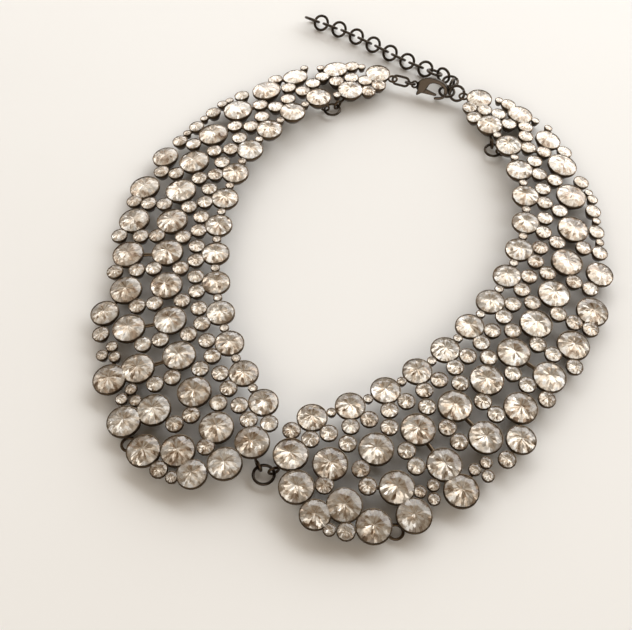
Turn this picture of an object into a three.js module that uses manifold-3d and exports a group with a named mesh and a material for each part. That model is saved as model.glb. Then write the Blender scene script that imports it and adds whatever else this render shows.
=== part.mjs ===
import * as THREE from "three";
import { ConvexGeometry } from "three/addons/geometries/ConvexGeometry.js";
import { mergeVertices } from "three/addons/utils/BufferGeometryUtils.js";
import Module from "manifold-3d";

const wasm = await Module();
wasm.setup();

// Bib necklace lying on a table: two collar panels of round stones joined by a ring at the throat, two short
// end panels on hinge rings, a lobster clasp and an extender chain. The throat is towards -Y, the clasp towards
// +Y, and the table is the plane z = 0. Millimetres.

// Stones and their cups. A cup's wall stands outside the stone, and the cup narrows towards its base. The tiny
// and fine stones between the others, and the small one in the middle of each bay, aren't modelled here, but the
// tiny one still spaces the stones of the inner edge.
const LARGE_STONE = 9.6;
const MEDIUM_STONE = 8.4;
const SMALL_STONE = 4.8;
const TINY_STONE = 2.4;
const LARGE_CUP_HEIGHT = 3.6;
const MEDIUM_CUP_HEIGHT = 3.3;
const SMALL_CUP_HEIGHT = 2.7;
const CUP_WALL = 0.3;
const CUP_BASE_SHARE = 0.85;
const CUP_CORNER_SHARE = 1.1;
const CROWN_SHARE = 0.12;
const TABLE_SHARE = 0.52;
const FACETS = 8;

// Solder work: how far neighbouring cups run into each other, how the rows are spaced, and the bars that tie a
// cup to a neighbour that it doesn't touch.
const SOLDER_OVERLAP = 0.15;
const ROW_SLACK = 0.5;
const ROW_GAP = 2.6;
const RIM_NEST_SHARE = 0.85;
const BAR = 1.2;
const BAR_DEPTH = 0.9;

// Shape of the collar: where its inner edge starts beside the throat ring, and how high that edge is domed.
const EDGE_START_X = 6.9;
const EDGE_START_Y = 18.3;
const EDGE_START_HEADING = 35;
const HINGE_GAP = 1.9;
const DOME_HEIGHT = 3;

// Rings, eyelets and links: each is a wire bent round, with its outer diameter and its wire.
const FRONT_RING = 6.9;
const FRONT_RING_WIRE = 0.9;
const HINGE_RING = 6.4;
const HINGE_RING_WIRE = 0.9;
const EYELET = 3.8;
const EYELET_WIRE = 0.8;
const RIM_LOOP = 5.2;
const RIM_LOOP_WIRE = 0.9;
const CHAIN_LINK = 6.3;
const CHAIN_WIRE = 1.0;
const CLASP_RING = 4.2;
const CLASP_RING_WIRE = 0.8;
const OVAL_LINK_LENGTH = 7;
const OVAL_LINK_WIDTH = 4;
const OVAL_LINK_WIRE = 0.9;
const LINK_PLAY = 0.3;
const CHAIN_PLAY = 0.45;
const LINK_SIDES = 10;
const RING_SIDES = 12;
const WIRE_SIDES = 5;

// Lobster clasp: length from the centre of its eye to its nose, its width, and how thick it is.
const CLASP_LENGTH = 12.5;
const CLASP_WIDTH = 7.3;
const CLASP_THICKNESS = 2.6;
const CLASP_NOSE_THICKNESS = 1.5;
const CLASP_EYE_HOLE = 1.6;
const CLASP_EYE_WALL = 0.7;
const CLASP_EYE_THICKNESS = 1.0;
const LEVER_THICKNESS = 1.0;
const LEVER_ROOT = 2.2;
const LEVER_TIP = 0.9;
const LEVER_PIN = 0.8;
const LEVER_CLEARANCE = 0.3;
const LEVER_SWING_ROOM = 0.8;
const CLASP_HEIGHT = 3.7;
const CLASP_TILT = 55;

const METAL_COLOUR = 0x4a423a;
const STONE_METAL_COLOUR = 0xb7aca0;

function cupOf(stone, height) {
  return { radius: stone / 2 + CUP_WALL, height, crown: stone * CROWN_SHARE };
}

const CUPS = {
  large: cupOf(LARGE_STONE, LARGE_CUP_HEIGHT),
  medium: cupOf(MEDIUM_STONE, MEDIUM_CUP_HEIGHT),
  small: cupOf(SMALL_STONE, SMALL_CUP_HEIGHT),
};

// The collar is laid out on a grid. A bay runs along the inner edge from one medium stone to the next, with room
// for a tiny stone between them. Rows are counted outwards from that edge: row 1 and row 2 are the lines of
// large stones, and row 3 is the outer rim.
const BAY_LENGTH = 2 * CUPS.medium.radius + TINY_STONE + 2 * (CUP_WALL - SOLDER_OVERLAP);
const ROW_1 = CUPS.medium.radius + 2 * CUPS.small.radius + CUPS.large.radius + ROW_SLACK;
const ROW_2 = ROW_1 + 2 * CUPS.large.radius + ROW_GAP;
const ROW_3 = ROW_2 + 2 * CUPS.large.radius * RIM_NEST_SHARE;
const ROWS = [0, ROW_1, ROW_2, ROW_3, 2 * ROW_3 - ROW_2];
const FRONT_REACH = ROW_3 + CUPS.large.radius;
const BACK_REACH = ROW_1 + CUPS.large.radius;
const LAST_FRONT_BAY = 4.5;
const HINGE_BAY = 13;

// How many degrees the inner edge turns along each bay, from the throat to the clasp.
const EDGE_TURNS = [
  { bay: 1, turn: 8 },
  { bay: 2, turn: 7.6 },
  { bay: 3, turn: 7 },
  { bay: 4, turn: 6.4 },
  { bay: 5, turn: 5.6 },
  { bay: 6, turn: 5.4 },
  { bay: 7, turn: 6.1 },
  { bay: 8, turn: 7.7 },
  { bay: 9, turn: 9.5 },
  { bay: 10, turn: 10.4 },
  { bay: 11, turn: 9.7 },
  { bay: 12, turn: 7.3 },
  { bay: 13, turn: 3.8 },
  { bay: 14, turn: 0 },
];

// The stones that every bay repeats, each with its place in the bay, its row and the bays that have it.
const REPEAT = [
  { size: "medium", along: 0, row: 0, first: 1, last: 13 },
  { size: "small", along: 0.26, row: 0.4, first: 1, last: 12 },
  { size: "small", along: 0.79, row: 0.4, first: 1, last: 12 },
  { size: "large", along: 0.08, row: 1, first: 1, last: 12 },
  { size: "small", along: 0.62, row: 1.32, first: 1, last: 9 },
  { size: "small", along: 0.62, row: 1.74, first: 1, last: 9 },
  { size: "large", along: 0.1, row: 2, first: 1, last: 8 },
];

// The stones round the front tip of a panel. The first one carries the eyelet of the throat ring.
const TIP_STONES = [
  { size: "large", bay: 0.32, row: 0.66 },
  { size: "large", bay: 0.32, row: 1.37 },
  { size: "medium", bay: 0.56, row: 2.09 },
  { size: "small", bay: 0.44, row: 0.18 },
  { size: "small", bay: 0.82, row: 0.43 },
  { size: "small", bay: 0.85, row: 1.45 },
  { size: "small", bay: 1, row: 2.84 },
];

// The stones of the outer rim, from the tip to the hinge.
const RIM_STONES = [
  { size: "large", bay: 1.46, row: 2.92 },
  { size: "large", bay: 2.15, row: 3.05 },
  { size: "large", bay: 3.08, row: 3.02 },
  { size: "small", bay: 4.12, row: 3 },
  { size: "medium", bay: 4.6, row: 2.79 },
  { size: "small", bay: 5.64, row: 2.43 },
  { size: "small", bay: 6.66, row: 2.45 },
  { size: "small", bay: 7.68, row: 2.22 },
  { size: "medium", bay: 9.08, row: 1.85 },
  { size: "small", bay: 10.16, row: 1.61 },
  { size: "small", bay: 10.72, row: 1.54 },
  { size: "small", bay: 11.55, row: 1.37 },
  { size: "small", bay: 12.55, row: 1.24 },
  { size: "medium", bay: 13, row: 0.955 },
  { size: "small", bay: 13.19, row: 0.48 },
];

// The stones of the short end panel behind the hinge. The first one carries its eyelet for the hinge ring, the
// second its eyelet for the clasp or the chain.
const END_STONES = [
  { size: "medium", bay: 13.94, row: -0.1 },
  { size: "medium", bay: 15.05, row: 0.03 },
  { size: "medium", bay: 14.06, row: 0.72 },
  { size: "small", bay: 13.62, row: 0.67 },
  { size: "small", bay: 13.81, row: 0.33 },
  { size: "small", bay: 14.25, row: 0.24 },
  { size: "small", bay: 14.39, row: -0.33 },
  { size: "small", bay: 14.55, row: -0.01 },
  { size: "small", bay: 14.56, row: 0.6 },
  { size: "small", bay: 14.81, row: -0.29 },
];

// Where the rings sit: the hinge ring's and the rim loop's places on the grid, and how far round the throat ring
// the eyelet of the right panel is.
const HINGE_RING_PLACE = { bay: 13.25, row: -0.25 };
const RIM_LOOP_PLACE = { bay: 1.79, row: 3.19 };
const THROAT_EYELET_ANGLE = 40;
const THROAT_EYELET_BEARING = -128;
const THROAT_EYELET_REACH = 1.12;

// The chain leaves the link in the clasp's hook by a tight bend, whose links are placed by hand: where each one's
// centre is from the hooked link's, which way it points and how far it is rolled about that way. After the bend
// the links follow a route over the table, also chosen by hand.
const BEND_LINKS = [
  { x: 0.7, y: 3.82, z: -0.48, heading: 84, roll: 90 },
  { x: -0.35, y: 6.34, z: -0.73, heading: 139, roll: 2 },
  { x: -3.6, y: 8.3, z: -0.55, heading: 155, roll: 75 },
  { x: -7.2, y: 9.4, z: -1.2, heading: 165, roll: 150 },
];
const CHAIN_ROUTE = [
  { x: -7.2, y: 9.4, z: -1.3 },
  { x: -19, y: 12, z: -1.3 },
  { x: -32, y: 16, z: -1.3 },
  { x: -45, y: 19.6, z: -1.3 },
  { x: -59.6, y: 22, z: -1.3 },
];
const RESTING_ROLL = 45;

const UP = new THREE.Vector3(0, 0, 1);

function radians(degrees) {
  return THREE.MathUtils.degToRad(degrees);
}

function bearing(degrees, length = 1) {
  return new THREE.Vector3(Math.cos(radians(degrees)), Math.sin(radians(degrees)), 0).multiplyScalar(length);
}

// The inner edge is a run of arcs, one for each bay. This gives the point at a bay number and the way it heads.
function edgeAt(bay) {
  let x = EDGE_START_X;
  let y = EDGE_START_Y;
  let heading = radians(EDGE_START_HEADING);
  const lastBay = EDGE_TURNS[EDGE_TURNS.length - 1].bay;
  for (const row of EDGE_TURNS) {
    const share = row.bay === lastBay ? bay - row.bay : Math.min(bay - row.bay, 1);
    const length = (BAY_LENGTH + (row.bay === HINGE_BAY ? HINGE_GAP : 0)) * share;
    const turn = radians(row.turn) * share;
    const chord = turn === 0 ? length : (length * Math.sin(turn / 2)) / (turn / 2);
    x += chord * Math.cos(heading + turn / 2);
    y += chord * Math.sin(heading + turn / 2);
    heading += turn;
    if (bay <= row.bay + 1) break;
  }
  return { x, y, heading };
}

function rowOut(row) {
  const lower = THREE.MathUtils.clamp(Math.floor(row), 0, ROWS.length - 2);
  return THREE.MathUtils.lerp(ROWS[lower], ROWS[lower + 1], row - lower);
}

// A place on the collar's domed face, level with the rims of the cups. The dome is highest at the inner edge and
// comes down to the outer rim, which is further out at the front than at the back.
function placeAt(bay, row) {
  const edge = edgeAt(bay);
  const out = rowOut(row);
  const outward = new THREE.Vector3(Math.sin(edge.heading), -Math.cos(edge.heading), 0);
  const along = new THREE.Vector3(Math.cos(edge.heading), Math.sin(edge.heading), 0);
  const back = THREE.MathUtils.clamp((bay - LAST_FRONT_BAY) / (HINGE_BAY - LAST_FRONT_BAY), 0, 1);
  const reach = THREE.MathUtils.lerp(FRONT_REACH, BACK_REACH, back);
  const height = DOME_HEIGHT * (1 - (out * out) / (reach * reach));
  const up = outward.clone().multiplyScalar((2 * DOME_HEIGHT * out) / (reach * reach)).add(UP).normalize();
  const rim = new THREE.Vector3(edge.x, edge.y, height + CUPS.large.height).addScaledVector(outward, out);
  return { rim, up, along };
}

function stonesFrom(rows) {
  const stones = rows.map(({ size, bay, row }) => ({ size, cup: CUPS[size], ...placeAt(bay, row) }));
  const lowest = Math.min(...stones.map(({ rim, up, cup }) => {
    const baseSide = cup.radius * CUP_BASE_SHARE * CUP_CORNER_SHARE * Math.SQRT1_2;
    return rim.z - up.z * cup.height - Math.hypot(up.x, up.y) * baseSide;
  }));
  for (const stone of stones) stone.rim.z -= lowest;
  return stones;
}

function repeated({ size, along, row, first, last }) {
  return Array.from({ length: last - first + 1 }, (_, step) => ({ size, bay: first + step + along, row }));
}

// Each panel stands with its lowest cup on the table.
const PANEL_STONES = stonesFrom([...TIP_STONES, ...RIM_STONES, ...REPEAT.flatMap(repeated)]);
const END_PANEL_STONES = stonesFrom(END_STONES);

function toSolid(geometry) {
  const bare = geometry.clone();
  bare.deleteAttribute("normal");
  bare.deleteAttribute("uv");
  const merged = mergeVertices(bare, 1e-4);
  const corners = merged.index.array;
  const triangles = [];
  for (let i = 0; i < corners.length; i += 3) {
    const [a, b, c] = [corners[i], corners[i + 1], corners[i + 2]];
    if (a !== b && b !== c && c !== a) triangles.push(a, b, c);
  }
  return new wasm.Manifold(new wasm.Mesh({
    numProp: 3,
    vertProperties: new Float32Array(merged.attributes.position.array),
    triVerts: new Uint32Array(triangles),
  }));
}

function toGeometry(solid) {
  const mesh = solid.getMesh();
  const geometry = new THREE.BufferGeometry();
  geometry.setAttribute("position", new THREE.BufferAttribute(new Float32Array(mesh.vertProperties), 3));
  geometry.setIndex(new THREE.BufferAttribute(new Uint32Array(mesh.triVerts), 1));
  geometry.computeVertexNormals();
  return geometry;
}

function joined(solids) {
  let parts = solids;
  while (parts.length > 1) {
    const pairs = [];
    for (let i = 0; i < parts.length; i += 2) {
      pairs.push(i + 1 < parts.length ? parts[i].add(parts[i + 1]) : parts[i]);
    }
    parts = pairs;
  }
  return parts[0];
}

// A frame with its X axis along one direction and its Z axis as near as it can be to another.
function frame(xAxis, zAxis, origin) {
  const x = xAxis.clone().normalize();
  const y = new THREE.Vector3().crossVectors(zAxis, x).normalize();
  const z = new THREE.Vector3().crossVectors(x, y);
  return new THREE.Matrix4().makeBasis(x, y, z).setPosition(origin);
}

// The corners of a level polygon, with a side square to +X where the count of sides allows it.
function corners(sides, radius, z, x = 0, y = 0) {
  return Array.from({ length: sides }, (_, index) => {
    const angle = ((index + 0.5) / sides) * 2 * Math.PI;
    return new THREE.Vector3(x + radius * Math.cos(angle), y + radius * Math.sin(angle), z);
  });
}

// One cup with its stone: a bowl that tapers from an eight-sided rim to a square base, with the stone fused to
// the rim. Eight facets rise from the rim to the stone's square table.
function cupAndStone({ cup, rim, up, along }) {
  const radius = cup.radius * CUP_CORNER_SHARE;
  const cut = new ConvexGeometry([
    ...corners(FACETS / 2, radius * CUP_BASE_SHARE, -cup.height),
    ...corners(FACETS, radius, 0),
    ...corners(FACETS / 2, radius * TABLE_SHARE, cup.crown),
  ]);
  return toSolid(cut.applyMatrix4(frame(along, up, rim)));
}

// A three-sided solder bar with its ridge up.
function bar(from, to) {
  const length = from.distanceTo(to);
  const section = [0, 120, 240].map((angle) => bearing(angle + 90, BAR / 2));
  const ends = [-length / 2, length / 2].flatMap((x) => section.map((p) => new THREE.Vector3(x, p.x, p.y)));
  const middle = from.clone().add(to).multiplyScalar(0.5);
  return toSolid(new ConvexGeometry(ends).applyMatrix4(frame(to.clone().sub(from), UP, middle)));
}

function barAnchor({ rim, up }) {
  return rim.clone().addScaledVector(up, -BAR_DEPTH);
}

// Cups that run into each other are soldered where they meet. A bar ties on each cup, or group of cups, that
// would otherwise touch nothing.
function solderBars(pieces) {
  const pairs = pieces.flatMap((a, index) => pieces.slice(index + 1).map((b) => ({
    a, b, gap: a.rim.distanceTo(b.rim) - a.cup.radius - b.cup.radius,
  })));
  pairs.sort((p, q) => p.gap - q.gap);
  const cluster = new Map(pieces.map((piece, index) => [piece, index]));
  const tie = (a, b) => {
    const dropped = cluster.get(b);
    for (const [piece, index] of cluster) {
      if (index === dropped) cluster.set(piece, cluster.get(a));
    }
  };
  const nearby = pairs.filter(({ gap }) => gap < SOLDER_OVERLAP * 4);
  for (const { a, b } of nearby) {
    if (a.solid.intersect(b.solid).volume() > SOLDER_OVERLAP ** 3) tie(a, b);
  }
  const bars = [];
  for (const { a, b } of pairs) {
    if (cluster.get(a) === cluster.get(b)) continue;
    bars.push(bar(barAnchor(a), barAnchor(b)));
    tie(a, b);
  }
  return bars;
}

function panel(stones, fittings) {
  const pieces = stones.map((stone) => ({ ...stone, solid: cupAndStone(stone) }));
  return toGeometry(joined([...pieces.map(({ solid }) => solid), ...solderBars(pieces), ...fittings]));
}

// A round ring about the Z axis. With LINK_SIDES sides it has a corner at each end of its X axis.
function ring(diameter, wire, sides) {
  return new THREE.TorusGeometry((diameter - wire) / 2, wire / 2, WIRE_SIDES, sides);
}

function wireRadius(diameter, wire) {
  return (diameter - wire) / 2;
}

const EYELET_RADIUS = wireRadius(EYELET, EYELET_WIRE);

function eyelet(centre, axis, towards) {
  return toSolid(ring(EYELET, EYELET_WIRE, LINK_SIDES).applyMatrix4(frame(towards, axis, centre)));
}

// An eyelet that stands on the table round the wire of a level ring, with a shank up into its cup.
function standingEyelet(hole, towards, stone) {
  const shankStart = hole.clone().addScaledVector(towards, EYELET_RADIUS);
  const shankEnd = stone.rim.clone().addScaledVector(stone.up, -stone.cup.height / 2);
  return [eyelet(hole, new THREE.Vector3().crossVectors(UP, towards), towards), bar(shankStart, shankEnd)];
}

// Throat: the ring runs under the first large cup.
const THROAT_RADIUS = wireRadius(FRONT_RING, FRONT_RING_WIRE);
const throatStone = PANEL_STONES[0];
const throatHole = throatStone.rim.clone()
  .add(bearing(THROAT_EYELET_BEARING, throatStone.cup.radius * THROAT_EYELET_REACH)).setZ(EYELET / 2);
const ringHeight = EYELET_WIRE + LINK_PLAY + FRONT_RING_WIRE / 2;

// Hinge: the ring runs under the last medium cup of the edge, and the end panel reaches it with a longer shank.
const HINGE_RADIUS = wireRadius(HINGE_RING, HINGE_RING_WIRE);
const hingeCentre = placeAt(HINGE_RING_PLACE.bay, HINGE_RING_PLACE.row).rim.setZ(ringHeight);

function hingeEyelet(stone) {
  const towards = stone.rim.clone().sub(hingeCentre).setZ(0).normalize();
  const hole = hingeCentre.clone().addScaledVector(towards, HINGE_RADIUS).setZ(EYELET / 2);
  return standingEyelet(hole, towards, stone);
}

const lastEdgeStone = PANEL_STONES[TIP_STONES.length + RIM_STONES.length + REPEAT[0].last - REPEAT[0].first];
const [hingeStone, claspStone] = END_PANEL_STONES;

// Rim loop: a level ring soldered into the gap between two large cups of the rim.
const rimLoopCentre = placeAt(RIM_LOOP_PLACE.bay, RIM_LOOP_PLACE.row).rim.setZ(RIM_LOOP_WIRE);
const rimLoop = toSolid(ring(RIM_LOOP, RIM_LOOP_WIRE, LINK_SIDES).translate(...rimLoopCentre));

// Back: the level eyelet sits on the wall of its cup, on the side that faces the clasp, and its link clears the cup.
const backHole = claspStone.rim.clone().setZ(CLASP_HEIGHT);
backHole.x -= claspStone.cup.radius * CUP_CORNER_SHARE + CHAIN_WIRE / 2 + LINK_PLAY;

// The clasp and the links beside it lie in a row along X, measured from the centre of the clasp's eye.
const CHAIN_RADIUS = wireRadius(CHAIN_LINK, CHAIN_WIRE);
const CLASP_RING_RADIUS = wireRadius(CLASP_RING, CLASP_RING_WIRE);
const ovalRight = -2 * CLASP_RING_RADIUS + (CLASP_RING_WIRE + OVAL_LINK_WIRE) / 2 + LINK_PLAY;
const leftEyelet = ovalRight - OVAL_LINK_LENGTH + OVAL_LINK_WIRE;
const hookedLink = CLASP_LENGTH * 0.96;
const heldLinkStart = hookedLink + CHAIN_RADIUS - CHAIN_WIRE - 2 * LINK_PLAY;
const rightEyelet = heldLinkStart + 2 * CHAIN_RADIUS;
const halfGap = (rightEyelet - leftEyelet) / 2;

// A half of the collar turns about its throat eyelet until its back eyelet stands half the clasp row from the
// middle. The left half mirrors the right one.
const throatHalf = bearing(THROAT_EYELET_ANGLE, THROAT_RADIUS);
const span = backHole.clone().sub(throatHole).setZ(0);
const closing = Math.acos((halfGap - throatHalf.x) / span.length()) - Math.atan2(span.y, span.x);
const CLOSED = new THREE.Matrix4().makeTranslation(throatHalf.x, 0, 0)
  .multiply(new THREE.Matrix4().makeRotationZ(closing))
  .multiply(new THREE.Matrix4().makeTranslation(-throatHole.x, -throatHole.y, 0));
const throatTurned = THROAT_EYELET_ANGLE - THREE.MathUtils.radToDeg(closing);
const backY = backHole.clone().applyMatrix4(CLOSED).y;

function mirrored(geometry) {
  const twin = geometry.clone().scale(-1, 1, 1);
  const index = twin.index.array;
  for (let i = 0; i < index.length; i += 3) {
    [index[i + 1], index[i + 2]] = [index[i + 2], index[i + 1]];
  }
  twin.computeVertexNormals();
  return twin;
}

const group = new THREE.Group();

function addPiece(name, geometry, colour = METAL_COLOUR) {
  const material = new THREE.MeshStandardMaterial({ color: colour, metalness: 0.8, roughness: 0.35 });
  const mesh = new THREE.Mesh(geometry, material);
  mesh.name = name;
  group.add(mesh);
  return mesh;
}

function addPair(name, geometry, colour) {
  const right = geometry.applyMatrix4(CLOSED);
  addPiece(`right_${name}`, right, colour);
  addPiece(`left_${name}`, mirrored(right), colour);
}

addPair("panel", panel(PANEL_STONES, [
  ...standingEyelet(throatHole, bearing(throatTurned), throatStone),
  ...hingeEyelet(lastEdgeStone),
  rimLoop,
]), STONE_METAL_COLOUR);
addPair("end_panel", panel(END_PANEL_STONES, [
  ...hingeEyelet(hingeStone),
  eyelet(backHole, UP, bearing(180 - THREE.MathUtils.radToDeg(closing))),
]), STONE_METAL_COLOUR);
addPair("hinge_ring", toGeometry(toSolid(
  ring(HINGE_RING, HINGE_RING_WIRE, RING_SIDES).translate(...hingeCentre),
)));
addPiece("front_ring", ring(FRONT_RING, FRONT_RING_WIRE, RING_SIDES))
  .position.set(0, -throatHalf.y, ringHeight);

// The clasp's own axes: U along X, V across it, leaning back over the table, and W through its thickness.
const U = new THREE.Vector3(1, 0, 0);
const V = new THREE.Vector3(0, Math.cos(radians(CLASP_TILT)), Math.sin(radians(CLASP_TILT)));
const W = new THREE.Vector3().crossVectors(U, V);
const claspEye = new THREE.Vector3(-(rightEyelet + leftEyelet) / 2, backY, CLASP_HEIGHT);

// The body's outline: the spine over the window, the nose, the inside of the hook and the heel under the lever.
// The places are shares of the clasp's length and width.
function bodyOutline() {
  const at = (along, across) => [along * CLASP_LENGTH, across * CLASP_WIDTH];
  const shape = new THREE.Shape();
  shape.moveTo(...at(0.072, 0.15));
  shape.quadraticCurveTo(...at(0.24, 0.55), ...at(0.52, 0.52));
  shape.quadraticCurveTo(...at(0.96, 0.49), ...at(1, 0));
  shape.quadraticCurveTo(...at(0.99, -0.48), ...at(0.656, -0.48));
  shape.lineTo(...at(0.64, -0.4));
  shape.lineTo(...at(0.664, -0.356));
  shape.quadraticCurveTo(...at(0.9, -0.33), ...at(0.9, -0.055));
  shape.quadraticCurveTo(...at(0.89, 0.3), ...at(0.6, 0.3));
  shape.quadraticCurveTo(...at(0.416, 0.274), ...at(0.376, -0.014));
  shape.lineTo(...at(0.32, -0.3));
  shape.lineTo(...at(0.216, -0.342));
  shape.lineTo(...at(0.08, -0.178));
  return shape;
}

// The body seen from its edge: thin at the eye, full at the lever and slim again at the nose.
function edgeOutline() {
  const [eye, middle, nose] = [CLASP_EYE_THICKNESS / 2, CLASP_THICKNESS / 2, CLASP_NOSE_THICKNESS / 2];
  const half = [
    { along: -0.2, thickness: eye },
    { along: 0.064, thickness: eye },
    { along: 0.13, thickness: middle },
    { along: 0.66, thickness: middle },
    { along: 1.01, thickness: nose },
  ];
  const top = half.map(({ along, thickness }) => new THREE.Vector2(along * CLASP_LENGTH, thickness));
  const bottom = half.map(({ along, thickness }) => new THREE.Vector2(along * CLASP_LENGTH, -thickness));
  return new THREE.Shape([...bottom, ...top.reverse()]);
}

function plate(shape, thickness) {
  const slab = new THREE.ExtrudeGeometry(shape, { depth: thickness, bevelEnabled: false, curveSegments: 4 });
  return slab.translate(0, 0, -thickness / 2);
}

function disc(radius, thickness, x, y) {
  const cylinder = new THREE.CylinderGeometry(radius, radius, thickness, LINK_SIDES);
  return toSolid(cylinder.rotateX(Math.PI / 2).translate(x, y, 0));
}

// A flat arm between two round ends.
function arm(from, fromRadius, to, toRadius, thickness) {
  const faces = [-thickness / 2, thickness / 2];
  return toSolid(new ConvexGeometry(faces.flatMap((z) => [
    ...corners(LINK_SIDES, fromRadius, z, from.x, from.y),
    ...corners(LINK_SIDES, toRadius, z, to.x, to.y),
  ])));
}

const pin = new THREE.Vector2(CLASP_LENGTH * 0.216, -CLASP_WIDTH * 0.178);
const leverTip = new THREE.Vector2(CLASP_LENGTH * 0.664, -CLASP_WIDTH * 0.26);
const leverThumb = new THREE.Vector2(CLASP_LENGTH * 0.128, -CLASP_WIDTH * 0.425);

function claspBody() {
  const eye = CLASP_EYE_HOLE / 2;
  const slotWidth = LEVER_THICKNESS + 2 * LEVER_CLEARANCE;
  const slotStart = pin.x - LEVER_ROOT / 2 - LEVER_CLEARANCE;
  const slotEnd = CLASP_LENGTH * 0.4;
  const slotTop = pin.y + LEVER_ROOT / 2 + LEVER_SWING_ROOM;
  const slot = new THREE.BoxGeometry(slotEnd - slotStart, CLASP_WIDTH, slotWidth)
    .translate((slotStart + slotEnd) / 2, slotTop - CLASP_WIDTH / 2, 0);
  const side = plate(edgeOutline(), 2 * CLASP_WIDTH).rotateX(Math.PI / 2);
  return toSolid(plate(bodyOutline(), CLASP_THICKNESS * 2))
    .intersect(toSolid(side))
    .add(disc(eye + CLASP_EYE_WALL, CLASP_EYE_THICKNESS, 0, 0))
    .subtract(disc(eye, CLASP_THICKNESS, 0, 0))
    .subtract(toSolid(slot))
    .add(disc(LEVER_PIN / 2, CLASP_THICKNESS - LEVER_CLEARANCE, pin.x, pin.y));
}

function claspLever() {
  const bore = LEVER_PIN / 2 + LEVER_CLEARANCE;
  return arm(pin, LEVER_ROOT / 2, leverTip, LEVER_TIP / 2, LEVER_THICKNESS)
    .add(arm(pin, LEVER_ROOT / 2, leverThumb, LEVER_TIP / 2, LEVER_THICKNESS))
    .subtract(disc(bore, LEVER_THICKNESS * 2, pin.x, pin.y));
}

const claspFrame = frame(U, W, claspEye);
addPiece("clasp_body", toGeometry(claspBody()).applyMatrix4(claspFrame));
addPiece("clasp_lever", toGeometry(claspLever()).applyMatrix4(claspFrame));

function rowPoint(along, dy = 0, dz = 0) {
  return claspEye.clone().add(new THREE.Vector3(along, dy, dz));
}

addPiece("clasp_ring", ring(CLASP_RING, CLASP_RING_WIRE, LINK_SIDES)
  .applyMatrix4(frame(U, V, rowPoint(-CLASP_RING_RADIUS))));

// The long link is a round one pulled apart in the middle.
function ovalLink() {
  const link = ring(OVAL_LINK_WIDTH, OVAL_LINK_WIRE, LINK_SIDES);
  const position = link.attributes.position;
  const stretch = (OVAL_LINK_LENGTH - OVAL_LINK_WIDTH) / 2;
  for (let i = 0; i < position.count; i += 1) {
    position.setX(i, position.getX(i) + Math.sign(position.getX(i)) * stretch);
  }
  link.computeVertexNormals();
  return link;
}

addPiece("clasp_link", ovalLink().applyMatrix4(frame(U, W, rowPoint((leftEyelet + ovalRight) / 2))));

// The extender chain: one link on the right end panel, one in the hook, and the free run, whose links lie
// alternately on one side and the other.
const chainPitch = 2 * CHAIN_RADIUS - CHAIN_WIRE - CHAIN_PLAY;
const hookedCentre = rowPoint(hookedLink, 0.3, 0);
const heldStart = rowPoint(heldLinkStart, 0.8, 0.3);
const heldEnd = rowPoint(rightEyelet, 0.2, 0);
const heldCentre = heldStart.clone().add(heldEnd).multiplyScalar(0.5);

function fromHookedLink({ x, y, z }) {
  return hookedCentre.clone().add(new THREE.Vector3(x, y, z));
}

// The free links: those of the bend, then one at every pitch of the route, turned a quarter from the last one.
function freeLinks() {
  const links = BEND_LINKS.map((link) => ({
    centre: fromHookedLink(link), direction: bearing(link.heading), roll: link.roll,
  }));
  const path = new THREE.CatmullRomCurve3(CHAIN_ROUTE.map(fromHookedLink)).getSpacedPoints(3000);
  for (const point of path) {
    const step = point.clone().sub(links[links.length - 1].centre);
    if (step.length() < chainPitch) continue;
    links.push({ centre: point, direction: step, roll: RESTING_ROLL + 90 * links.length });
  }
  return links;
}

function chainLink({ centre, direction, roll }) {
  const level = new THREE.Vector3().crossVectors(UP, direction).normalize();
  const axis = level.multiplyScalar(Math.sin(radians(roll))).addScaledVector(UP, Math.cos(radians(roll)));
  return ring(CHAIN_LINK, CHAIN_WIRE, LINK_SIDES).applyMatrix4(frame(direction, axis, centre));
}

const chain = [
  ring(CHAIN_LINK, CHAIN_WIRE, LINK_SIDES).applyMatrix4(frame(heldEnd.sub(heldStart), W, heldCentre)),
  ring(CHAIN_LINK, CHAIN_WIRE, LINK_SIDES).applyMatrix4(frame(U, UP, hookedCentre)),
  ...freeLinks().map(chainLink),
];
chain.forEach((link, index) => addPiece(`chain_link_${String(index + 1).padStart(2, "0")}`, link));

// The origin is in the middle of the necklace's footprint, on the table.
const bounds = new THREE.Box3().setFromObject(group);
const centre = bounds.getCenter(new THREE.Vector3());
group.position.set(-centre.x, -centre.y, -bounds.min.z);

export default group;
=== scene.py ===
import math
import random

import bmesh
import bpy
import numpy as np
from mathutils import Matrix, Vector


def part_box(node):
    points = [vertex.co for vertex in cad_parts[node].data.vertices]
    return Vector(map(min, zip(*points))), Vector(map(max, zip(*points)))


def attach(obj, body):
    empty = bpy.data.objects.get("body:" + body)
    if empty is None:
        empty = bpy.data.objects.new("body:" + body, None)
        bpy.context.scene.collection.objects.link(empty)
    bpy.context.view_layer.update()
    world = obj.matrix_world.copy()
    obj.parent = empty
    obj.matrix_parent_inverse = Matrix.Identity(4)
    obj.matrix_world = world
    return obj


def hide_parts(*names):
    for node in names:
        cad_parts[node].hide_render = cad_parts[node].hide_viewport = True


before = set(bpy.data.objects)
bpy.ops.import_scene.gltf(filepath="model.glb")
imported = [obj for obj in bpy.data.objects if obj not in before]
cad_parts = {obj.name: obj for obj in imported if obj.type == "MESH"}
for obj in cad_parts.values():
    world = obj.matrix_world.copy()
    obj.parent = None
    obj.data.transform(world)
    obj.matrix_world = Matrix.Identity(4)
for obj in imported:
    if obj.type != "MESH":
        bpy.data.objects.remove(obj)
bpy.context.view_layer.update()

# Collar: the grid that its stones are set out on. A bay runs along the inner edge from one medium stone to
# the next, and rows are counted outwards: 1 and 2 are the lines of large stones and 3 is the outer rim. The
# face is domed, highest at the inner edge. Sizes are millimetres until a piece is finished.
MM = 0.001
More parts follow.
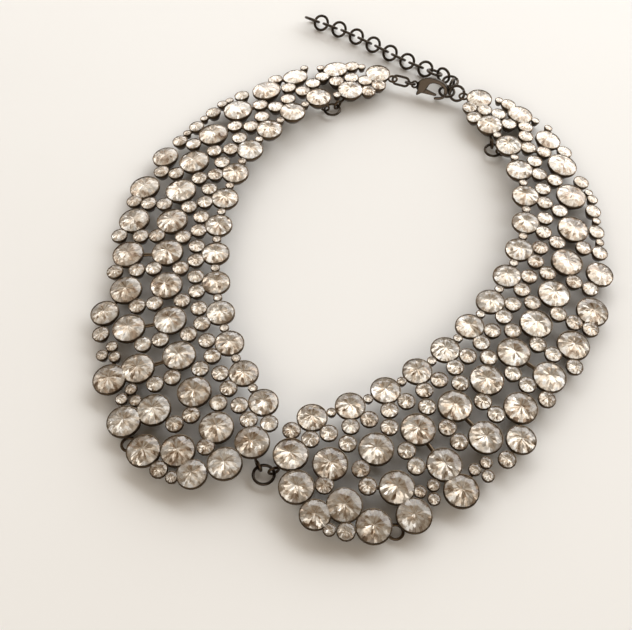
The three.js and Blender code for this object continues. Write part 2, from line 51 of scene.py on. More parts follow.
STONE_WIDTH = {"large": 9.6, "medium": 8.4, "small": 4.8, "fine": 3.2, "tiny": 2.4}
CUP_HEIGHT = {"large": 3.6, "medium": 3.3, "small": 2.7, "fine": 2.4, "tiny": 2.1}
CUP_WALL = 0.3
CUP_BASE_SHARE = 0.62
CUP_RADIUS = {size: width / 2 + CUP_WALL for size, width in STONE_WIDTH.items()}
SOLDER_OVERLAP = 0.15
ROW_SLACK = 0.5
ROW_GAP = 2.6
RIM_NEST_SHARE = 0.85
BAY_LENGTH = 2 * CUP_RADIUS["medium"] + STONE_WIDTH["tiny"] + 2 * (CUP_WALL - SOLDER_OVERLAP)
ROW_1 = CUP_RADIUS["medium"] + 2 * CUP_RADIUS["small"] + CUP_RADIUS["large"] + ROW_SLACK
ROW_2 = ROW_1 + 2 * CUP_RADIUS["large"] + ROW_GAP
ROW_3 = ROW_2 + 2 * CUP_RADIUS["large"] * RIM_NEST_SHARE
ROWS = [0, ROW_1, ROW_2, ROW_3, 2 * ROW_3 - ROW_2]
FRONT_REACH = ROW_3 + CUP_RADIUS["large"]
BACK_REACH = ROW_1 + CUP_RADIUS["large"]
LAST_FRONT_BAY = 4.5
HINGE_BAY = 13
HINGE_GAP = 1.9
DOME_HEIGHT = 3
# How many degrees the edge turns in each bay.
EDGE_TURNS = [8, 7.6, 7, 6.4, 5.6, 5.4, 6.1, 7.7, 9.5, 10.4, 9.7, 7.3, 3.8, 0]
EDGE_START = Vector((6.9, 18.3))
EDGE_START_HEADING = 35
# Where the edge's own origin stands from the throat ring, and how far the half collar is turned about it.
HALF_FROM_RING = Vector((0.59, 1.28, 0))
HALF_TURN = -0.15


def ring_middle(node):
    low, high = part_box(node)
    return (low + high) / 2 / MM


def edge_at(bay):
    """The inner edge's point and heading: a run of arcs, one for each bay."""
    point = EDGE_START.copy()
    heading = math.radians(EDGE_START_HEADING)
    for number, degrees in enumerate(EDGE_TURNS, start=1):
        share = bay - number if number == len(EDGE_TURNS) else min(bay - number, 1)
        length = (BAY_LENGTH + (HINGE_GAP if number == HINGE_BAY else 0)) * share
        turn = math.radians(degrees) * share
        chord = length if turn == 0 else length * math.sin(turn / 2) / (turn / 2)
        point += chord * Vector((math.cos(heading + turn / 2), math.sin(heading + turn / 2)))
        heading += turn
        if bay <= number + 1:
            break
    return point, heading


def row_out(row):
    lower = min(max(math.floor(row), 0), len(ROWS) - 2)
    return ROWS[lower] + (ROWS[lower + 1] - ROWS[lower]) * (row - lower)


def place_at(bay, row):
    """A right-hand place on the collar's face: its point level with the rims, its outward slope and the way
    along the edge."""
    point, heading = edge_at(bay)
    out = row_out(row)
    outward = Vector((math.sin(heading), -math.cos(heading), 0))
    along = Vector((math.cos(heading), math.sin(heading), 0))
    back = min(max((bay - LAST_FRONT_BAY) / (HINGE_BAY - LAST_FRONT_BAY), 0), 1)
    reach = FRONT_REACH + (BACK_REACH - FRONT_REACH) * back
    up = (outward * 2 * DOME_HEIGHT * out / reach ** 2 + Vector((0, 0, 1))).normalized()
    height = DOME_HEIGHT * (1 - (out / reach) ** 2) + CUP_HEIGHT["large"]
    rim = point.to_3d() + outward * out + Vector((0, 0, height))
    return rim, up, along


def row_frame(rim, up, along, side):
    """That place in the necklace's own frame, on the right (side 1) or the left (side -1)."""
    turn = Matrix.Rotation(math.radians(HALF_TURN), 3, "Z")
    ring = ring_middle("front_ring")
    ring.z = 0
    flip = Vector((side, 1, 1))
    origin = (turn @ rim + HALF_FROM_RING + ring) * flip
    across = turn @ along * flip
    normal = turn @ up * flip
    third = normal.cross(across).normalized()
    across = third.cross(normal)
    matrix = Matrix((across, third, normal)).transposed().to_4x4()
    matrix.translation = origin
    return matrix


# Stones: which of them stand where on the grid. Each bay repeats the same few, the front tip and the outer
# rim have their own, and so has the short end panel behind the hinge.
LARGE_ALONG = {1: 0.08, 2: 0.1}
# Size, place along the bay, row, first bay and last bay.
REPEAT = [
    ("medium", 0, 0, 1, 13),
    ("tiny", 0.5, 0, 1, 12),
    ("small", 0.26, 0.4, 1, 12),
    ("small", 0.79, 0.4, 1, 12),
    ("small", 0.57, 0.71, 1, 12),
    ("large", LARGE_ALONG[1], 1, 1, 12),
    ("small", 0.62, 1.32, 1, 9),
    ("small", 0.62, 1.74, 1, 9),
    ("large", LARGE_ALONG[2], 2, 1, 8),
]
# Size, bay and row.
PANEL_STONES = [
    ("large", 0.32, 0.66), ("large", 0.32, 1.37), ("medium", 0.56, 2.09), ("small", 0.44, 0.18),
    ("small", 0.82, 0.43), ("small", 0.85, 1.45), ("small", 1, 2.84), ("fine", 0.74, 2.66),
    ("large", 1.46, 2.92), ("large", 2.15, 3.05), ("fine", 2.44, 2.43), ("fine", 2.59, 2.84),
    ("fine", 2.71, 2.43), ("large", 3.08, 3.02), ("fine", 3.52, 2.66), ("fine", 3.64, 3.07),
    ("fine", 3.77, 2.68), ("small", 4.12, 3), ("medium", 4.6, 2.79), ("small", 5.64, 2.43),
    ("small", 6.66, 2.45), ("small", 7.68, 2.22), ("medium", 9.08, 1.85), ("tiny", 9.9, 1.71),
    ("small", 10.16, 1.61), ("tiny", 10.46, 1.61), ("small", 10.72, 1.54), ("fine", 11.06, 1.57),
    ("tiny", 11.25, 1.5), ("small", 11.55, 1.37), ("small", 12.55, 1.24), ("medium", 13, 0.955),
    ("small", 13.19, 0.48), ("tiny", 13.39, 1.16),
]
END_STONES = [
    ("medium", 13.94, -0.1), ("medium", 15.05, 0.03), ("medium", 14.06, 0.72), ("small", 13.62, 0.67),
    ("small", 13.81, 0.33), ("small", 14.25, 0.24), ("small", 14.39, -0.33), ("small", 14.55, -0.01),
    ("small", 14.56, 0.6), ("small", 14.81, -0.29), ("tiny", 13.54, -0.07), ("tiny", 13.79, 1),
    ("tiny", 14.8, 0.45),
]


def set_out(rows, side):
    """The stones' sizes and rim frames, lowered so that the lowest cup stands on the table."""
    stones = [(size, row_frame(*place_at(bay, row), side)) for size, bay, row in rows]
    lowest = min(
        rim.translation.z - rim.col[2].z * CUP_HEIGHT[size]
        - rim.col[2].xy.length * CUP_RADIUS[size] * CUP_BASE_SHARE
        for size, rim in stones
    )
    for _, rim in stones:
        rim.translation.z -= lowest
    return stones


repeated = [
    (size, first + step + along, row)
    for size, along, row, first, last in REPEAT
    for step in range(last - first + 1)
]
FIELDS = {
    "right_panel": set_out(PANEL_STONES + repeated, 1),
    "left_panel": set_out(PANEL_STONES + repeated, -1),
    "right_end_panel": set_out(END_STONES, 1),
    "left_end_panel": set_out(END_STONES, -1),
}


# Gunmetal: the dark plating on every cup, bar, ring and link. It is a little cloudy, as plating is where it
# has been handled, with a fine grain that takes the edge off its shine.
CLOUD_SCALE = 260
CLOUD_DETAIL = 5
CLOUD_SHARE = 0.7
CLOUD_ROUGHNESS = 0.22
GRAIN_SCALE = 5200
GRAIN_DETAIL = 3
GRAIN_STRENGTH = 0.12
GRAIN_DEPTH = 0.04


class Finish:
    """A finish, and the one method that adds its nodes."""

    def __init__(self, owner):
        self.owner = owner
        owner.use_nodes = True
        self.tree = owner.node_tree
        self.tree.nodes.clear()

    def node(self, kind, inputs, output=0, **settings):
        made = self.tree.nodes.new("ShaderNode" + kind)
        stops = settings.pop("stops", None)
        for key, setting in settings.items():
            setattr(made, key, setting)
        if stops:
            made.color_ramp.elements.remove(made.color_ramp.elements[1])
            for index, (position, colour) in enumerate(stops):
                ramp = made.color_ramp.elements
                element = ramp[0] if index == 0 else ramp.new(position)
                element.position = position
                element.color = (*colour, 1)
        for key, value in inputs.items():
            if isinstance(value, Output):
                self.tree.links.new(value.socket, made.inputs[key])
            else:
                made.inputs[key].default_value = value
        return Output(self, made.outputs[output]) if made.outputs else None

    def mix(self, share, first, second):
        """A colour between two. A Mix node takes them in sockets 6 and 7 and gives it from output 2."""
        return self.node("Mix", {0: share, 6: (*first, 1), 7: (*second, 1)}, 2, data_type="RGBA")


class Output:
    """One output of a node. Sums on it add the Math nodes that work them out."""

    def __init__(self, finish, socket):
        self.finish = finish
        self.socket = socket

    def math(self, operation, first, second):
        return self.finish.node("Math", {0: first, 1: second}, operation=operation)

    def __add__(self, other):
        return self.math("ADD", self, other)

    __radd__ = __add__

    def __mul__(self, other):
        return self.math("MULTIPLY", self, other)

    __rmul__ = __mul__

    def __sub__(self, other):
        return self.math("SUBTRACT", self, other)

    def __rsub__(self, other):
        return self.math("SUBTRACT", other, self)

    def __gt__(self, other):
        return self.math("GREATER_THAN", self, other)

    def __abs__(self):
        return self.finish.node("Math", {0: self}, operation="ABSOLUTE")

    def __floor__(self):
        return self.finish.node("Math", {0: self}, operation="FLOOR")


def gunmetal(name, dark, light, roughness):
    finish = Finish(bpy.data.materials.new(name))
    place = finish.node("TexCoord", {}, "Object")
    cloud = finish.node("TexNoise", {"Vector": place, "Scale": CLOUD_SCALE, "Detail": CLOUD_DETAIL}, "Fac")
    grain = finish.node("TexNoise", {"Vector": place, "Scale": GRAIN_SCALE, "Detail": GRAIN_DETAIL}, "Fac")
    colour = finish.mix(cloud * CLOUD_SHARE + grain * (1 - CLOUD_SHARE), dark, light)
    skin = finish.node("Bump", {
        "Height": grain, "Strength": GRAIN_STRENGTH, "Distance": GRAIN_DEPTH * MM,
    }, "Normal")
    shader = finish.node("BsdfPrincipled", {
        "Base Color": colour, "Metallic": 1.0, "Roughness": roughness + CLOUD_ROUGHNESS * (cloud - 0.5),
        "Normal": skin,
    }, "BSDF")
    finish.node("OutputMaterial", {"Surface": shader})
    return finish.owner


SETTING_METAL = gunmetal(
    "setting_gunmetal", dark=(0.026, 0.018, 0.011), light=(0.16, 0.115, 0.075), roughness=0.36,
)
WIRE_METAL = gunmetal(
    "wire_gunmetal", dark=(0.02, 0.015, 0.011), light=(0.1, 0.08, 0.062), roughness=0.32,
)


# Cups: each stone sits in a turned cup of thin plated sheet, with a plain wall that stands round the girdle
# and a body that tapers to a small flat base.
WALL_DROP = 0.9
LIP_RISE = 0.12
SIDES = {"large": 36, "medium": 32, "small": 14, "fine": 12, "tiny": 10}
WELD = 0.001
FLAT_WITHIN = math.radians(0.5)
# A face whose normal stands this upright stays flat, and the others are smooth.
LEVEL = 0.9


def turned(profile, sides):
    """A closed body turned from points given as radius and height."""
    body = bmesh.new()
    points = [body.verts.new((radius, 0, height)) for radius, height in profile]
    edges = [body.edges.new(pair) for pair in zip(points, points[1:])]
    bmesh.ops.spin(body, geom=points + edges, axis=(0, 0, 1), angle=math.tau, steps=sides, use_merge=True)
    bmesh.ops.remove_doubles(body, verts=body.verts, dist=WELD)
    bmesh.ops.recalc_face_normals(body, faces=body.faces)
    return body


def as_mesh(body, name):
    mesh = bpy.data.meshes.new(name)
    body.to_mesh(mesh)
    body.free()
    return mesh


def cup_mesh(size):
    radius = CUP_RADIUS[size]
    height = CUP_HEIGHT[size]
    base = radius * CUP_BASE_SHARE
    drop = WALL_DROP * height / CUP_HEIGHT["large"]
    inner_base = base - CUP_WALL / 2
    inner_floor = CUP_WALL / 2 - height
    profile = [
        (0, -height), (base, -height), (radius, -drop), (radius, LIP_RISE / 2),
        (radius - CUP_WALL / 2, LIP_RISE), (radius - CUP_WALL, 0),
        (inner_base, inner_floor), (0, inner_floor),
    ]
    body = turned(profile, SIDES[size])
    bmesh.ops.dissolve_limit(body, angle_limit=FLAT_WITHIN, verts=body.verts, edges=body.edges)
    for face in body.faces:
        face.smooth = abs(face.normal.z) < LEVEL
    return as_mesh(body, f"{size}_cup")


# Crystals: clear round stones, foiled behind, with a table, eight kites and sixteen girdle facets. The light
# and dark that the facets of the foiled back reflect through the front is painted into the base colour as
# wedges, and each wedge's normal leans its own way from the stone's axis. Each stone is set at its own turn,
# a hair out of level.
CROWN_SHARE = 0.12
PAVILION_SHARE = 0.34
TABLE_SHARE = 0.55
KITE_SHARE = 0.8
GIRDLE_SHARE = 0.02
CULET_SHARE = 0.08
FOLD = 8
SEAT_TILT = 2.5
STONE_WAYS = ("stone_first_way", "stone_second_way", "stone_axis")
FIRST_SEED = 11


def kite_rise():
    """How far up the crown the kites' side corners lie, as a share, so that each kite is flat."""
    return (1 - KITE_SHARE * math.cos(math.pi / FOLD)) / (1 - TABLE_SHARE)


def crystal_mesh(size):
    width = STONE_WIDTH[size]
    crown = width * CROWN_SHARE
    depth = width * PAVILION_SHARE
    # Corners, share of the width, height and turn in steps from corner to corner.
    rings = [
        (FOLD, TABLE_SHARE, crown, 0),
        (FOLD, KITE_SHARE, crown * kite_rise(), 0.5),
        (2 * FOLD, 1, 0, 0),
        (2 * FOLD, 1, -GIRDLE_SHARE * width, 0),
        (FOLD, CULET_SHARE, -depth, 0.5),
    ]
    body = bmesh.new()
    for count, share, height, steps in rings:
        turn = Matrix.Rotation(steps * math.tau / count, 4, "Z")
        lift = Matrix.Translation((0, 0, height + LIP_RISE / 2))
        bmesh.ops.create_circle(body, segments=count, radius=share * width / 2, matrix=lift @ turn)
    bmesh.ops.convex_hull(body, input=body.verts)
    loose = [edge for edge in body.edges if not edge.link_faces]
    bmesh.ops.delete(body, geom=loose, context="EDGES")
    bmesh.ops.dissolve_limit(body, angle_limit=FLAT_WITHIN, verts=body.verts, edges=body.edges)
    bmesh.ops.recalc_face_normals(body, faces=body.faces)
    cut = body.loops.layers.uv.new("cut")
    for face in body.faces:
        for loop in face.loops:
            loop[cut].uv = loop.vert.co.xy / (width / 2)
    return as_mesh(body, f"{size}_crystal")


# The foiled back: how steep its facets are and how far they stray, how deep the points between its bands
# are, how far apart the noise of its cells is read, and what each set of facets adds to the light painted in
# a cell.
BACK_STEEPNESS = 0.2
BACK_SCATTER = 0.27
POINT_DEPTH = 0.25
WEDGE_NOISE_STEP = 1.37
BAND_NOISE_STEP = 53.1
STONE_NOISE_STEP = 997
MAIN_LIGHT = 0.44
IMAGE_LIGHT = 0.36
STONE_LIGHT = 0.2
FOIL_METALLIC = 0.42
FOIL_ROUGHNESS = 0.2
FOIL_ROUGHNESS_SPREAD = 0.14
# Painted reflection: the tones that a cell's painted light runs through, from dark brown to near white.
PAINTED_REFLECTION_TONES = [
    (0.12, (0.17, 0.1, 0.05)), (0.3, (0.36, 0.27, 0.185)), (0.48, (0.5, 0.425, 0.335)),
    (0.66, (0.59, 0.53, 0.45)), (0.86, (0.72, 0.69, 0.64)),
]


def crystal():
    finish = Finish(bpy.data.materials.new("crystal"))
    cut = finish.node("UVMap", {}, "UV", uv_map="cut")
    across = finish.node("SeparateXYZ", {"Vector": cut}, "X")
    along = finish.node("SeparateXYZ", {"Vector": cut}, "Y")
    stone = finish.node("Attribute", {}, "Fac", attribute_name="stone_tone")
    turn = finish.node("Math", {0: along, 1: across}, operation="ARCTAN2") * (1 / math.tau)
    out = finish.node("Math", {0: across * across + along * along}, operation="SQRT")

    def facets(count, edges, points):
        """Wedge-shaped facets in bands that meet in points: the way each one faces and its own noise, which
        sets its lean, roughness and painted reflection.
        """
        notch = abs(turn * points - math.floor(turn * points) - 0.5)
        band = sum((out + POINT_DEPTH * notch) > edge for edge in edges)
        wedge = math.floor(turn * count + 0.5 * band)
        facing = (wedge + 0.5 - 0.5 * band) * (math.tau / count)
        cell = wedge * WEDGE_NOISE_STEP + band * BAND_NOISE_STEP + stone * STONE_NOISE_STEP
        return facing, finish.node("TexWhiteNoise", {"W": cell}, "Color", noise_dimensions="1D")

    def part(colour, channel):
        return finish.node("SeparateColor", {"Color": colour}, channel)

    def scaled(vector, share):
        return finish.node("VectorMath", {0: vector, "Scale": share}, operation="SCALE")

    def total(first, second):
        return finish.node("VectorMath", {0: first, 1: second}, operation="ADD")

    # The main facets of the back, and the finer ones of their images in each other.
    facing, mains = facets(count=20, edges=(0.26, 0.6, 0.9), points=10)
    images = facets(count=28, edges=(0.18, 0.42, 0.76), points=14)[1]
    steepness = BACK_STEEPNESS * (0.5 + part(mains, "Blue"))
    leans = []
    for channel, wave in (("Red", "COSINE"), ("Green", "SINE")):
        scatter = BACK_SCATTER * (part(mains, channel) + part(images, channel) - 1)
        leans.append(scatter - steepness * finish.node("Math", {0: facing}, operation=wave))
    first_way, second_way, axis = [
        finish.node("Attribute", {}, "Vector", attribute_name=name) for name in STONE_WAYS
    ]
    sideways = total(scaled(first_way, leans[0]), scaled(second_way, leans[1]))
    back = finish.node("VectorTransform", {"Vector": total(axis, sideways)}, vector_type="NORMAL",
                       convert_from="OBJECT", convert_to="WORLD")
    back = finish.node("VectorMath", {0: back}, operation="NORMALIZE")
    # The painted reflection: how light each cell is painted, from its noise and the stone's own tone.
    light = MAIN_LIGHT * part(mains, "Blue") + IMAGE_LIGHT * part(images, "Blue") + STONE_LIGHT * stone
    colour = finish.node("ValToRGB", {"Fac": light}, "Color", stops=PAINTED_REFLECTION_TONES)
    shader = finish.node("BsdfPrincipled", {
        "Base Color": colour, "Metallic": FOIL_METALLIC, "Normal": back,
        "Roughness": FOIL_ROUGHNESS + FOIL_ROUGHNESS_SPREAD * part(images, "Red"),
        "Coat Weight": 1.0, "Coat Roughness": 0.05, "Coat IOR": 1.5,
    }, "BSDF")
    finish.node("OutputMaterial", {"Surface": shader})
    return finish.owner


CRYSTAL = crystal()


def set_into(body, mesh, place):
    """Adds a copy of a ready mesh at a place."""
    placed = mesh.copy()
    placed.transform(place)
    body.from_mesh(placed)
    bpy.data.meshes.remove(placed)


def riding(mesh, name, material, cad_body="necklace"):
    """The piece's object at the origin, riding on its body."""
    piece = bpy.data.objects.new(name, mesh)
    mesh.materials.append(material)
    bpy.context.scene.collection.objects.link(piece)
    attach(piece, cad_body)
    return piece


def finished(body, name, material):
    """The piece that a body makes, brought from millimetres to metres."""
    bmesh.ops.scale(body, vec=(MM, MM, MM), verts=body.verts)
    return riding(as_mesh(body, name), name, material)


CUP_MESHES = {size: cup_mesh(size) for size in STONE_WIDTH}
CRYSTAL_MESHES = {size: crystal_mesh(size) for size in STONE_WIDTH}


def stones_of(node, seed):
    """Every crystal of one panel as one piece."""
    chance = random.Random(seed)
    body = bmesh.new()
    stone_tone = body.faces.layers.float.new("stone_tone")
    ways = [body.faces.layers.float_vector.new(name) for name in STONE_WAYS]
    for size, rim in FIELDS[node]:
        turn = Matrix.Rotation(chance.uniform(0, math.tau), 4, "Z")
        heading = chance.uniform(0, math.tau)
        lean = Vector((math.cos(heading), math.sin(heading), 0))
        seat = Matrix.Rotation(math.radians(chance.uniform(0, SEAT_TILT)), 4, lean)
        tone = chance.random()
        place = rim @ seat @ turn
        set_into(body, CRYSTAL_MESHES[size], place)
        body.faces.ensure_lookup_table()
        for face in body.faces[-len(CRYSTAL_MESHES[size].polygons):]:
            face[stone_tone] = tone
            for number, way in enumerate(ways):
                face[way] = place.col[number].xyz
    stones = finished(body, f"{node}_crystals", CRYSTAL)


for seed, node in enumerate(FIELDS, start=FIRST_SEED):
    stones_of(node, seed)


# Setting: the cups of a panel are soldered where they touch. Short round bars tie on those that don't, and
# tie the two lines of large stones in the bays where the work shows between them.
BAR_RADIUS = 0.6
BAR_SIDES = 10
BAR_DEPTH = 0.9
TIED_BAYS = [3, 4, 6]


def bar(body, start, end, radius=BAR_RADIUS):
    """A round bar from one point to another."""
    run = end - start
    place = Matrix.Translation((start + end) / 2) @ run.to_track_quat("Z", "Y").to_matrix().to_4x4()
    bmesh.ops.create_cone(body, cap_ends=True, segments=BAR_SIDES, radius1=radius, radius2=radius,
                          depth=run.length, matrix=place)


def nearest(stones, point):
    return min(stones, key=lambda stone: (stone[1].translation - point).length)


def tie(body, first, second):
    """A bar from wall to wall of two cups."""
    ends = [rim.translation - rim.col[2].xyz * BAR_DEPTH for _, rim in (first, second)]
    way = (ends[1] - ends[0]).normalized()
    start = ends[0] + way * (CUP_RADIUS[first[0]] - CUP_WALL)
    bar(body, start, ends[1] - way * (CUP_RADIUS[second[0]] - CUP_WALL))


def solder_bars(body, stones):
    """Ties every group of touching cups to its nearest neighbour until all of them hang together."""
    def gap(first, second):
        reach = (stones[first][1].translation - stones[second][1].translation).length
        return reach - CUP_RADIUS[stones[first][0]] - CUP_RADIUS[stones[second][0]]

    count = len(stones)
    group = list(range(count))
    pairs = sorted((gap(one, other), one, other) for one in range(count) for other in range(one))
    for width, one, other in pairs:
        if group[one] == group[other]:
            continue
        if width > 0:
            tie(body, stones[one], stones[other])
        kept, dropped = group[one], group[other]
        group = [kept if number == dropped else number for number in group]


def soldered_cups(stones):
    """The cups of a panel and the bars that tie them."""
    body = bmesh.new()
    for size, rim in stones:
        set_into(body, CUP_MESHES[size], rim)
    solder_bars(body, stones)
    return body


def finish_setting(body, node):
    setting = finished(body, f"{node}_setting", SETTING_METAL)
    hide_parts(node)


# Fittings soldered to the panels: a wire eyelet on a short shank at the throat and at the hinge, which
# stands round the wire of its ring, a level eyelet at each back end, and a level loop in the rim.
UP = Vector((0, 0, 1))
WIRE_SIDES = 12
RING_STEPS = 36
EYELET = 3.8
EYELET_WIRE = 0.8
EYELET_STEPS = 28
RIM_LOOP = 5.2
RIM_LOOP_WIRE = 0.9
RIM_LOOP_PLACE = (1.79, 3.19)
THROAT_EYELET_ANGLE = 40
FRONT_RING = 6.9
HINGE_RING = 6.4
RING_WIRE = 0.9
BACK_EYELET_HEIGHT = 3.7
BACK_EYELET_REACH = 5.75


def wire_ring(body, diameter, wire, place, steps=RING_STEPS, open_by=0.0):
    """A ring of round wire about the Z axis of a place. An opened one has a seam between its wire ends."""
    reach = (diameter - wire) / 2
    section = bmesh.new()
    upright = Matrix.Translation((reach, 0, 0)) @ Matrix.Rotation(math.pi / 2, 4, "X")
    bmesh.ops.create_circle(section, segments=WIRE_SIDES, radius=wire / 2, matrix=upright)
    bmesh.ops.spin(section, geom=section.verts[:] + section.edges[:], axis=(0, 0, 1),
                   angle=math.tau - open_by / reach, steps=steps, use_merge=open_by == 0)
    bmesh.ops.remove_doubles(section, verts=section.verts, dist=WELD)
    if open_by:
        ends = [edge for edge in section.edges if edge.is_boundary]
        bmesh.ops.holes_fill(section, edges=ends, sides=0)
    bmesh.ops.recalc_face_normals(section, faces=section.faces)
    for face in section.faces:
        face.smooth = len(face.verts) == 4
    mesh = as_mesh(section, "ring")
    set_into(body, mesh, place)
    bpy.data.meshes.remove(mesh)


def lying(centre, axis, towards):
    """A place with its Z along an axis and its X as near as it can be to a direction."""
    third = axis.cross(towards).normalized()
    matrix = Matrix((third.cross(axis), third, axis)).transposed().to_4x4()
    matrix.translation = centre
    return matrix


def spot(bay, row, side):
    """A point of the grid in the necklace's own frame."""
    return row_frame(*place_at(bay, row), side).translation


def standing_eyelet(body, hole, towards, stone):
    size, rim = stone
    upright = lying(hole, UP.cross(towards).normalized(), towards)
    wire_ring(body, EYELET, EYELET_WIRE, upright, EYELET_STEPS)
    shank_start = hole + towards * (EYELET - EYELET_WIRE) / 2
    shank_end = rim.translation - rim.col[2].xyz * CUP_HEIGHT[size] / 2
    bar(body, shank_start, shank_end, EYELET_WIRE / 2)


def hinge_eyelet(body, side_name, stone):
    centre = ring_middle(f"{side_name}_hinge_ring")
    towards = stone[1].translation - centre
    towards.z = 0
    towards.normalize()
    hole = centre + towards * (HINGE_RING - RING_WIRE) / 2
    hole.z = EYELET / 2
    standing_eyelet(body, hole, towards, stone)


def panel_setting(side_name, side):
    node = f"{side_name}_panel"
    stones = FIELDS[node]
    body = soldered_cups(stones)
    for bay in TIED_BAYS:
        points = [spot(bay + along, row, side) for row, along in LARGE_ALONG.items()]
        tie(body, *[nearest(stones, point) for point in points])
    angle = math.radians(THROAT_EYELET_ANGLE)
    towards = Vector((side * math.cos(angle), math.sin(angle), 0))
    hole = ring_middle("front_ring") + towards * (FRONT_RING - RING_WIRE) / 2
    hole.z = EYELET / 2
    standing_eyelet(body, hole, towards, stones[0])
    hinge_eyelet(body, side_name, nearest(stones, spot(HINGE_BAY, 0, side)))
    loop = spot(*RIM_LOOP_PLACE, side)
    loop.z = RIM_LOOP_WIRE
    wire_ring(body, RIM_LOOP, RIM_LOOP_WIRE, Matrix.Translation(loop))
    finish_setting(body, node)


def end_setting(side_name, side):
    node = f"{side_name}_end_panel"
    stones = FIELDS[node]
    body = soldered_cups(stones)
    hinge_stone, clasp_stone = stones[:2]
    hinge_eyelet(body, side_name, hinge_stone)
    hole = clasp_stone[1].translation - Vector((side * BACK_EYELET_REACH, 0, 0))
    hole.z = BACK_EYELET_HEIGHT
    wire_ring(body, EYELET, EYELET_WIRE, Matrix.Translation(hole), EYELET_STEPS)
    finish_setting(body, node)


for side_name, side in (("right", 1), ("left", -1)):
    panel_setting(side_name, side)
    end_setting(side_name, side)


# Rings and links: jump rings of round wire at the throat, at the hinges and on the clasp, the long link, and
# the extender chain's round links. Each is bent shut with a hairline seam.
SEAM = 0.06
CHAIN_LENGTH = 20
# Outer width, wire and how far each half is drawn out.
CHAIN_LINK = (6.3, 1.0, 0)
RINGS = {
    "front_ring": (FRONT_RING, RING_WIRE, 0),
    "right_hinge_ring": (HINGE_RING, RING_WIRE, 0),
    "left_hinge_ring": (HINGE_RING, RING_WIRE, 0),
    "clasp_ring": (4.2, 0.8, 0),
    "clasp_link": (4, 0.9, 1.5),
}
for number in range(1, CHAIN_LENGTH + 1):
    RINGS[f"chain_link_{number:02d}"] = CHAIN_LINK


def lie_of(node):
    """Where a ring of the frame lies: its middle, its axis and the way it is longest, found from how its
    corners spread."""
    points = np.array([vert.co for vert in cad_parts[node].data.vertices]) / MM
    middle = points.mean(0)
    ways = np.linalg.eigh(np.cov((points - middle).T))[1]
    return lying(Vector(middle), Vector(ways[:, 0]), Vector(ways[:, 2]))


for node, (diameter, wire, stretch) in RINGS.items():
    body = bmesh.new()
    wire_ring(body, diameter, wire, Matrix(), open_by=SEAM)
    for vert in body.verts:
        vert.co.x += math.copysign(stretch, vert.co.x)
    bmesh.ops.transform(body, matrix=lie_of(node), verts=body.verts)
    piece = finished(body, f"{node}_wire", WIRE_METAL)
    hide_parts(node)


# Clasp: a cast lobster claw and the sprung lever in its slot, both plated like the rest. Their edges are
# worn round, as tumbling leaves a casting.
VOXEL = 0.11
TUMBLING = 26


def tumbled(node, cad_body):
    """A solid of the frame with its edges worn round."""
    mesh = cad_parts[node].data.copy()
    body = bmesh.new()
    body.from_mesh(mesh)
    bmesh.ops.remove_doubles(body, verts=body.verts, dist=WELD * MM)
    body.to_mesh(mesh)
    body.free()
    rough = bpy.data.objects.new("casting", mesh)
    bpy.context.scene.collection.objects.link(rough)
    remesh = rough.modifiers.new("Cast", "REMESH")
    remesh.mode = "VOXEL"
    remesh.voxel_size = VOXEL * MM
    remesh.use_smooth_shade = True
    smooth = rough.modifiers.new("Tumble", "SMOOTH")
    smooth.iterations = TUMBLING
    cast = bpy.data.meshes.new_from_object(rough.evaluated_get(bpy.context.evaluated_depsgraph_get()))
    bpy.data.objects.remove(rough)
    cast.materials.clear()
    piece = riding(cast, f"{node}_casting", WIRE_METAL, cad_body)
    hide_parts(node)


tumbled("clasp_body", "necklace")
tumbled("clasp_lever", "clasp_lever")


# Table: a plain sheet of matt, warm white paper that the necklace lies on, faintly mottled as paper is. Its
# width and the sizes and places of the lights are in metres.
TABLE_WIDTH = 4
MOTTLE_SCALE = 9
MOTTLE_DETAIL = 3
PAPER_DARK = (0.87, 0.86, 0.835)
PAPER_LIGHT = (0.905, 0.9, 0.88)
PAPER_ROUGHNESS = 0.75

bpy.ops.mesh.primitive_plane_add(size=TABLE_WIDTH)
table = bpy.context.object
table.name = "table"
paper = Finish(bpy.data.materials.new("table_paper"))
place = paper.node("TexCoord", {}, "Object")
mottle = paper.node("TexNoise", {"Vector": place, "Scale": MOTTLE_SCALE, "Detail": MOTTLE_DETAIL}, "Fac")
sheet = paper.node("BsdfPrincipled", {
    "Base Color": paper.mix(mottle, PAPER_DARK, PAPER_LIGHT), "Roughness": PAPER_ROUGHNESS,
}, "BSDF")
paper.node("OutputMaterial", {"Surface": sheet})
table.data.materials.append(paper.owner)


# Light: a wide low window behind the table, which throws the shadows towards the camera, a second one to the
# left of it, and a faint warm fill from the front. The room's walls are warm, and it is dark overhead.
LEVEL_TONE = 0.85
OVERHEAD_FALL = 0.78
BACK_RISE = 0.15
CEILING_COLOUR = (0.1, 0.06, 0.03)
WALL_COLOUR = (1, 0.85, 0.67)
ROOM_STRENGTH = 0.6


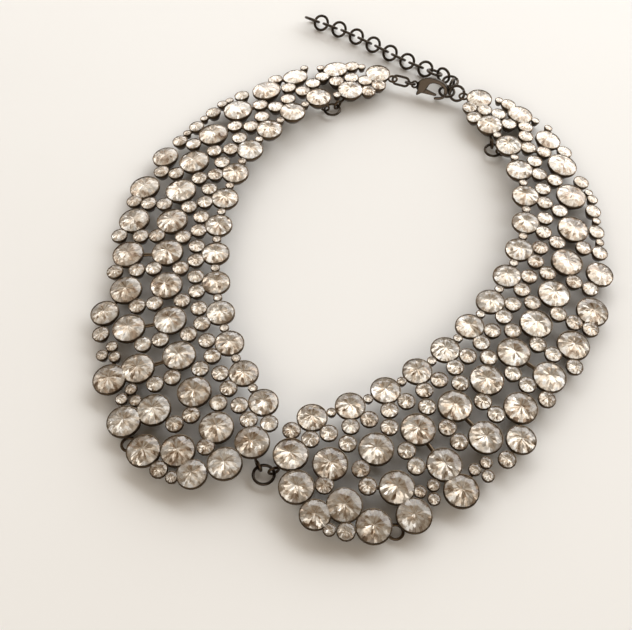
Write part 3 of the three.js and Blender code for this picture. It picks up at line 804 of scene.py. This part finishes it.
def softbox(name, place, width, height, power, colour):
    light = bpy.data.lights.new(name, "AREA")
    light.shape = "RECTANGLE"
    light.size = width
    light.size_y = height
    light.energy = power
    light.color = colour
    lamp = bpy.data.objects.new(name, light)
    lamp.location = place
    lamp.rotation_euler = (-Vector(place)).to_track_quat("-Z", "Y").to_euler()
    bpy.context.scene.collection.objects.link(lamp)


softbox("window", place=(0.4, 1.5, 0.78), width=3.2, height=1.35, power=56, colour=(0.96, 0.98, 1))
softbox("second_window", place=(-1.3, 1, 0.8), width=2.2, height=1.3, power=13, colour=(1, 0.99, 0.98))
softbox("front_fill", place=(0.3, -1.5, 0.8), width=1.8, height=0.7, power=11, colour=(1, 0.93, 0.84))

room = Finish(bpy.data.worlds.new("room"))
bpy.context.scene.world = room.owner
way = room.node("TexCoord", {}, "Generated")
towards_back = room.node("SeparateXYZ", {"Vector": way}, "Y")
upwards = room.node("SeparateXYZ", {"Vector": way}, "Z")
tone = LEVEL_TONE - OVERHEAD_FALL * upwards + BACK_RISE * towards_back
wall = room.mix(tone, CEILING_COLOUR, WALL_COLOUR)
walls = room.node("Background", {"Color": wall, "Strength": ROOM_STRENGTH}, "Background")
room.node("OutputWorld", {"Surface": walls})
bpy.context.scene.view_settings.view_transform = "Standard"


# Camera: it looks down from in front of the throat ring and a little to the right of it, at the height and
# angle of the photograph, with a lens that shows the necklace at the photograph's scale.
CAMERA_FROM_RING = Vector((62, -129.2, 282))
CAMERA_PITCH = 54.8
CAMERA_WAY = Vector((-0.337, 0.941)).normalized()
FOCAL_PIXELS = 1100
PICTURE_WIDTH = 632
SENSOR_WIDTH = 36

camera = bpy.data.objects.new("camera", bpy.data.cameras.new("camera"))
camera.data.lens = FOCAL_PIXELS / PICTURE_WIDTH * SENSOR_WIDTH
throat = ring_middle("front_ring")
camera.location = Vector((throat.x, throat.y, 0)) * MM + CAMERA_FROM_RING * MM
pitch = math.radians(CAMERA_PITCH)
view = Vector((*(CAMERA_WAY * math.cos(pitch)), -math.sin(pitch)))
camera.rotation_euler = view.to_track_quat("-Z", "Y").to_euler()
bpy.context.scene.collection.objects.link(camera)
bpy.context.scene.camera = camera
